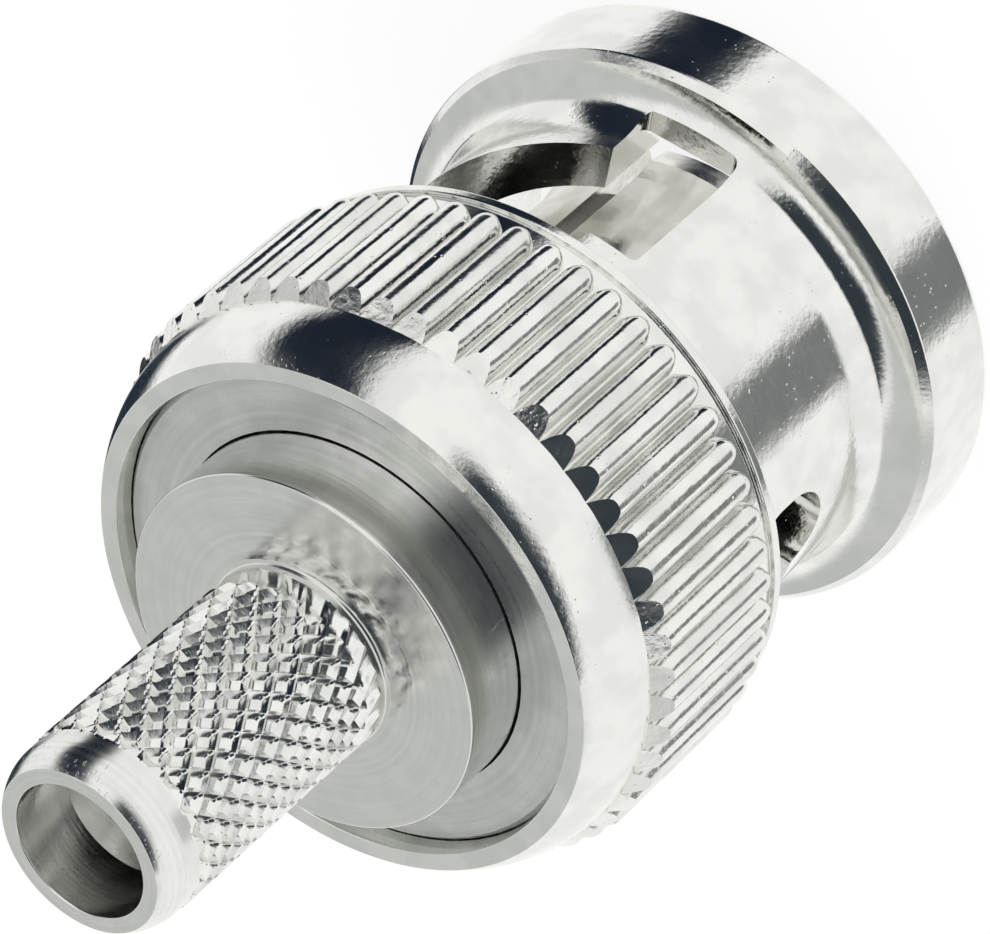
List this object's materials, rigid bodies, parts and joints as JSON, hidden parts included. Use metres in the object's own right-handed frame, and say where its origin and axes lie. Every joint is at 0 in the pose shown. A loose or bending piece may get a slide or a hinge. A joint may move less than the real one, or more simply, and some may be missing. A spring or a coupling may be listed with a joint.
{
  "type": "bnc connector",
  "caption": "Bayonet coaxial plug for crimping on a cable: fluted coupling nut with cam slots, slotted outer contact, centre pin and knurled crimp stem.",
  "frame": {"origin": "centre of the coupling nut's mating face, which the plug stands on", "axes": "+Z along the plug's axis, from the mating face to the open end of the crimp stem; +X through the detent that holds one of the jack's studs when locked"},
  "size_m": [0.0148, 0.0148, 0.0241],
  "materials": {
    "nut_nickel": "bright nickel plate on a cast nut",
    "ring_nickel": "satin nickel plate, turned face",
    "washer_steel": "satin spring steel",
    "body_nickel": "bright nickel plate on turned brass",
    "contact_nickel": "bright nickel plate on spring bronze",
    "ptfe": "waxy white fluoropolymer",
    "gold": "gold plate on turned brass",
    "silicone": "matt silicone rubber"
  },
  "bodies": {
    "plug_body": {"connector_body": "body_nickel", "outer_contact": "contact_nickel", "insulator": "ptfe", "centre_contact": "gold", "gasket": "silicone", "wave_washer_rear": "washer_steel", "wave_washer_front": "washer_steel"},
    "thrust": {"thrust_washer": "washer_steel"},
    "nut": {"coupling_nut": "nut_nickel", "retaining_ring": "ring_nickel"}
  },
  "joints": [
    {"name": "nut_float", "type": "slide", "parent": "plug_body", "child": "thrust", "axis": [0, 0, -1], "range_m": [0, 0.0005], "stiffness_N_per_m": 8000, "springref_m": -0.0003, "deforming": ["wave_washer_front", "wave_washer_rear"]},
    {"name": "nut_spin", "type": "hinge", "parent": "thrust", "child": "nut", "pos_m": [0, 0, 0.012], "axis": [0, 0, 1], "continuous": true}
  ]
}
